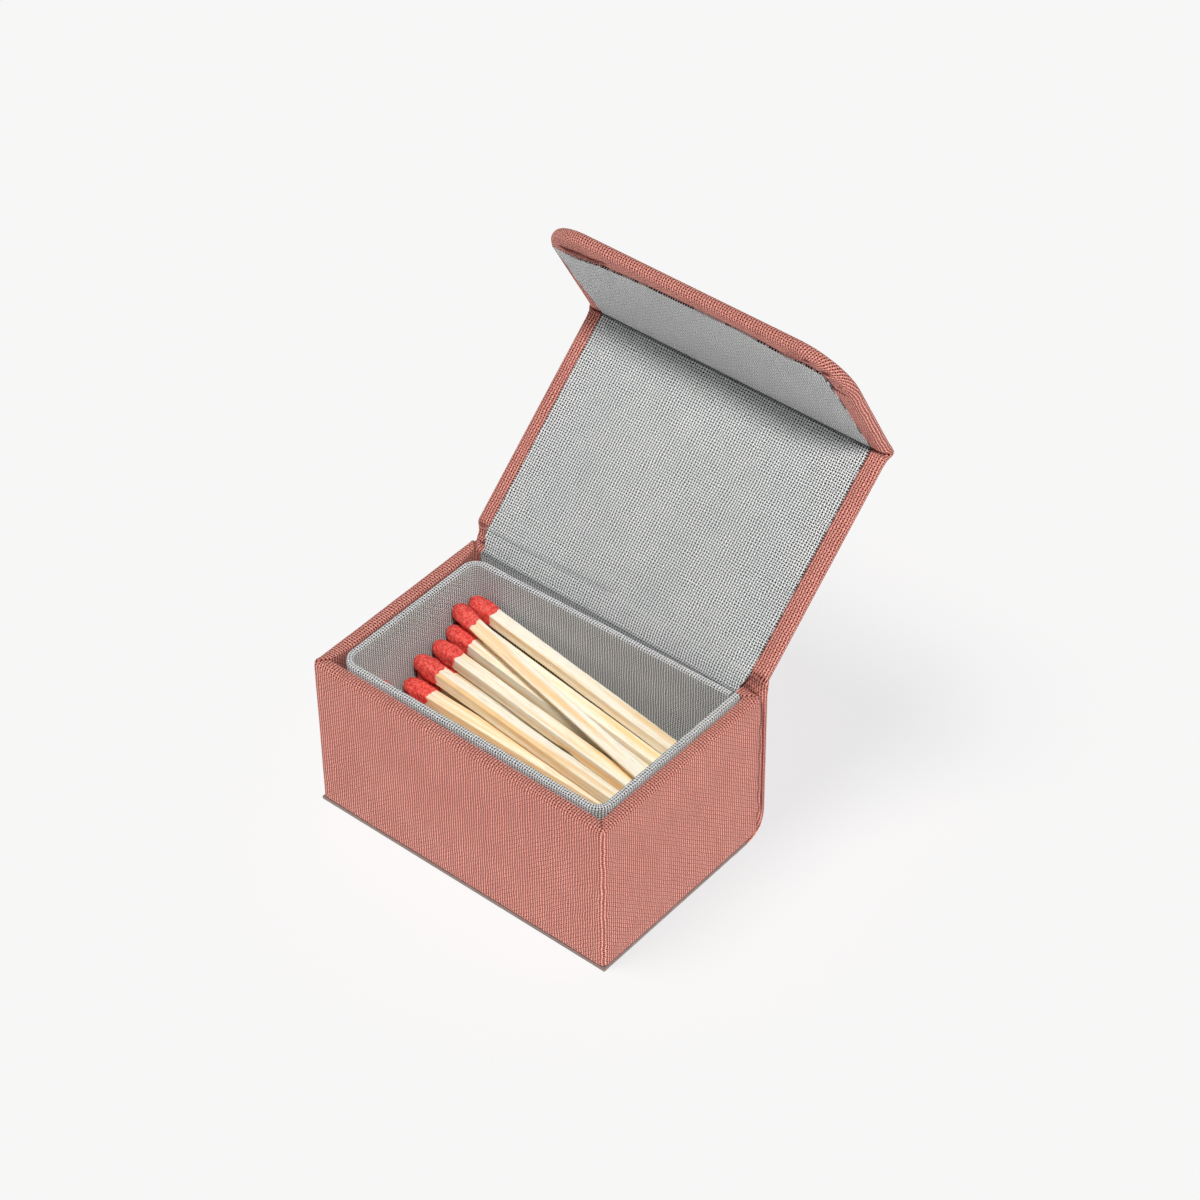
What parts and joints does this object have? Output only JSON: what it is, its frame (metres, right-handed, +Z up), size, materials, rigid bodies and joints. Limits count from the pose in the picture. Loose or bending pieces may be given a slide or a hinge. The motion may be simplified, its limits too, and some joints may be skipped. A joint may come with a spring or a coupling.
{
  "type": "matchbox",
  "caption": "Cloth-covered matchbox with a lid hinged at the back, a flap that folds down over the front, a grey lining and loose red-headed matches.",
  "frame": {"origin": "middle of the face that the box stands on, under the centre of the tray", "axes": "+X along the box's width to the right seen from the front, -Y out of the front, +Z up"},
  "size_m": [0.062, 0.0734, 0.0884],
  "materials": {
    "pink_book_cloth": "matt plain-weave book cloth, dusty pink with darker red gaps",
    "grey_book_cloth": "matt plain-weave book cloth, light grey with darker gaps",
    "grey_board": "matt grey board",
    "striking_surface": "rough brown-grey coated paper",
    "match_wood": "raw split pale wood",
    "match_head": "matt red match head, finely grained",
    "magnet_nickel": "nickel plated disc"
  },
  "bodies": {
    "box": {"tray_cloth": "pink_book_cloth", "rear_panel_cloth": "pink_book_cloth", "lid_hinge_cloth": "pink_book_cloth", "liner_cloth": "grey_book_cloth", "floor_cloth": "grey_book_cloth", "lining_tab": "grey_book_cloth", "lid_hinge_lining": "grey_book_cloth", "base_board": "grey_board", "front_board": "grey_board", "rear_board": "grey_board", "left_board": "grey_board", "right_board": "grey_board", "liner_card": "grey_board", "floor_card": "grey_board", "rear_panel_board": "grey_board", "striking_sheet": "striking_surface", "match_1_stick": "match_wood", "match_2_stick": "match_wood", "match_3_stick": "match_wood", "match_4_stick": "match_wood", "match_5_stick": "match_wood", "match_6_stick": "match_wood", "match_7_stick": "match_wood", "match_8_stick": "match_wood", "match_9_stick": "match_wood", "match_10_stick": "match_wood", "match_11_stick": "match_wood", "match_12_stick": "match_wood", "match_13_stick": "match_wood", "match_14_stick": "match_wood", "match_15_stick": "match_wood", "match_16_stick": "match_wood", "lower_match_sticks": "match_wood", "match_1_head": "match_head", "match_2_head": "match_head", "match_3_head": "match_head", "match_4_head": "match_head", "match_5_head": "match_head", "match_6_head": "match_head", "match_7_head": "match_head", "match_8_head": "match_head", "match_9_head": "match_head", "match_10_head": "match_head", "match_11_head": "match_head", "match_12_head": "match_head", "match_13_head": "match_head", "match_14_head": "match_head", "match_15_head": "match_head", "match_16_head": "match_head", "lower_match_heads": "match_head", "front_magnet": "magnet_nickel"},
    "lid": {"lid_cloth": "pink_book_cloth", "lid_board": "grey_board", "lid_lining": "grey_book_cloth", "fold_cloth": "pink_book_cloth", "fold_lining": "grey_book_cloth"},
    "flap": {"flap_cloth": "pink_book_cloth", "flap_board": "grey_board", "flap_lining": "grey_book_cloth", "flap_magnet": "magnet_nickel"}
  },
  "joints": [
    {"name": "lid_hinge", "type": "hinge", "parent": "box", "child": "lid", "pos_m": [0, 0.02071, 0.03375], "axis": [1, 0, 0], "range_deg": [-60, 137.93], "deforming": ["lid_hinge_cloth", "lid_hinge_lining"]},
    {"name": "flap_hinge", "type": "hinge", "parent": "lid", "child": "flap", "pos_m": [0, 0.05091, 0.06215], "axis": [1, 0, 0], "range_deg": [-76.21, 13.79], "deforming": ["fold_cloth", "fold_lining"]}
  ]
}
